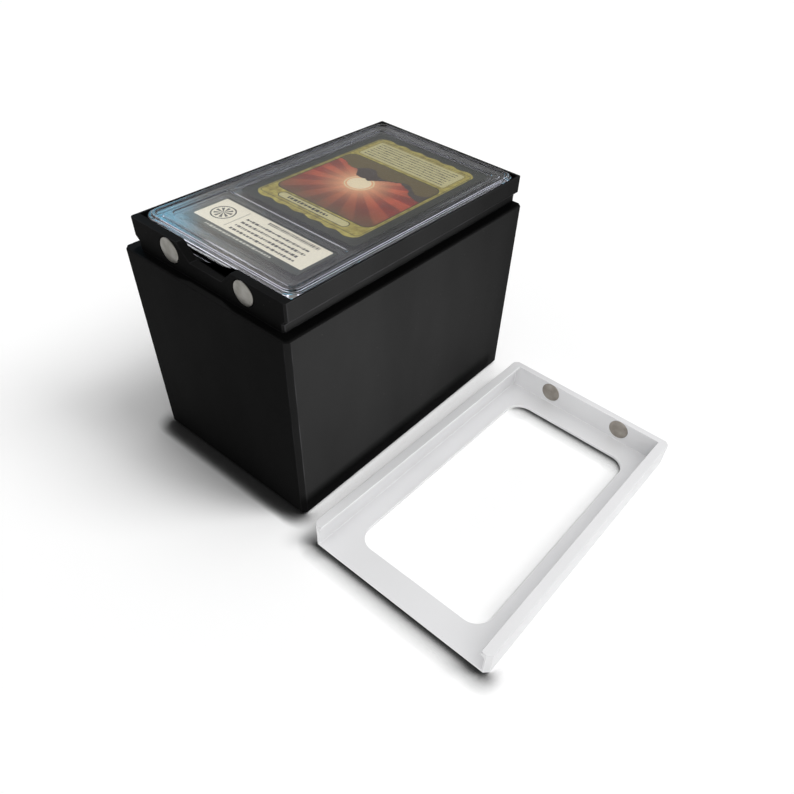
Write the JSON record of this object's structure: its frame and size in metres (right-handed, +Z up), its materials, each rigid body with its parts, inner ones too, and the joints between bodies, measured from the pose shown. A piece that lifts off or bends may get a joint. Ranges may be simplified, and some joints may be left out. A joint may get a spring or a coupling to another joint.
{
  "type": "trading card display case",
  "caption": "Deep card box with a recess for a graded card holder on top and a magnetic slide-on window cover, shown lying beside it.",
  "frame": {"origin": "centre of the box's flat resting face", "axes": "+X along the box away from the finger notch, +Y across the box away from the cover that lies beside it, +Z up"},
  "size_m": [0.1548, 0.195, 0.1056],
  "materials": {
    "box_plastic": "satin black moulded plastic",
    "cover_plastic": "satin white moulded plastic",
    "magnet_nickel": "dull nickel plating",
    "clear_shell": "clear polished plastic",
    "clear_well": "clear moulded plastic",
    "card_stock": "printed card, satin",
    "label_paper": "printed paper, matte"
  },
  "bodies": {
    "box": {"box_body": "box_plastic", "box_magnet_left": "magnet_nickel", "box_magnet_right": "magnet_nickel"},
    "cover": {"cover_frame": "cover_plastic", "cover_magnet_left": "magnet_nickel", "cover_magnet_right": "magnet_nickel"},
    "slab": {"slab_front_shell": "clear_shell", "slab_back_shell": "clear_shell", "slab_card_well": "clear_well", "trading_card": "card_stock", "grade_label": "label_paper"}
  },
  "joints": [
    {"name": "cover_lift", "type": "slide", "parent": "box", "child": "cover", "axis": [0, 0, 1], "range_m": [0, 0.13]},
    {"name": "slab_lift", "type": "slide", "parent": "box", "child": "slab", "axis": [0, 0, 1], "range_m": [0, 0.04]}
  ]
}
